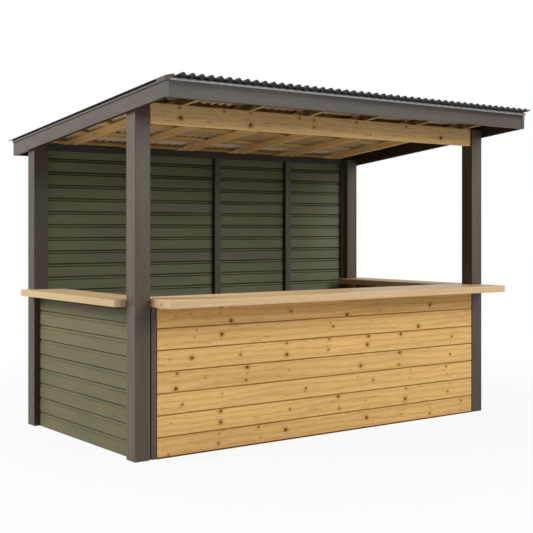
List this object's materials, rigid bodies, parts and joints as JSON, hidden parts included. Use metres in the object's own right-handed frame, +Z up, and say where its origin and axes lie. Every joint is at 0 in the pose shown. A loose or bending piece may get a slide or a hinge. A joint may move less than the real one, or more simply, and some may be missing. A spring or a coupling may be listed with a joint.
{
  "type": "wooden market stall",
  "caption": "Open-fronted timber market stall with painted posts, boarded half walls, a pine serving counter, side shelves and a lean-to corrugated sheet roof.",
  "frame": {"origin": "middle of the overall plan at ground level", "axes": "+X to the right along the serving front, +Y from the front to the back, +Z up"},
  "size_m": [3.58, 2.56, 2.5549],
  "materials": {
    "post_paint": "satin dark brown-grey exterior paint on planed timber",
    "fascia_paint": "satin grey-brown exterior paint on planed timber",
    "green_paint": "satin olive-green exterior paint on shiplap boards",
    "board_pine": "clear-finished knotty pine boards",
    "frame_pine": "untreated sawn pine framing",
    "counter_pine": "pale planed pine planks",
    "roof_steel": "charcoal colour-coated corrugated steel",
    "roof_trim": "grey colour-coated folded steel"
  },
  "bodies": {
    "root": {"back_boards": "green_paint", "back_fascia": "fascia_paint", "back_header": "post_paint", "back_left_batten": "post_paint", "back_left_post": "post_paint", "back_right_batten": "post_paint", "back_right_post": "post_paint", "back_studs": "post_paint", "counter_back_plank": "counter_pine", "counter_front_plank": "counter_pine", "front_beam": "frame_pine", "front_boards": "board_pine", "front_fascia": "fascia_paint", "front_flashing": "roof_trim", "front_left_post": "post_paint", "front_right_post": "post_paint", "front_stile": "post_paint", "front_studs": "frame_pine", "left_boards": "green_paint", "left_capping": "roof_trim", "left_fascia": "fascia_paint", "left_shelf_inner": "counter_pine", "left_shelf_middle": "counter_pine", "left_shelf_outer": "counter_pine", "left_studs": "frame_pine", "purlin_1": "frame_pine", "purlin_2": "frame_pine", "purlin_3": "frame_pine", "purlin_4": "frame_pine", "purlin_5": "frame_pine", "purlin_6": "frame_pine", "rafter_1": "frame_pine", "rafter_2": "frame_pine", "rafter_3": "frame_pine", "rafter_4": "frame_pine", "rafter_5": "frame_pine", "rafter_6": "frame_pine", "right_boards": "green_paint", "right_fascia": "fascia_paint", "right_shelf_inner": "counter_pine", "right_shelf_middle": "counter_pine", "right_shelf_outer": "counter_pine", "right_studs": "frame_pine", "roof_sheet": "roof_steel"}
  },
  "joints": []
}
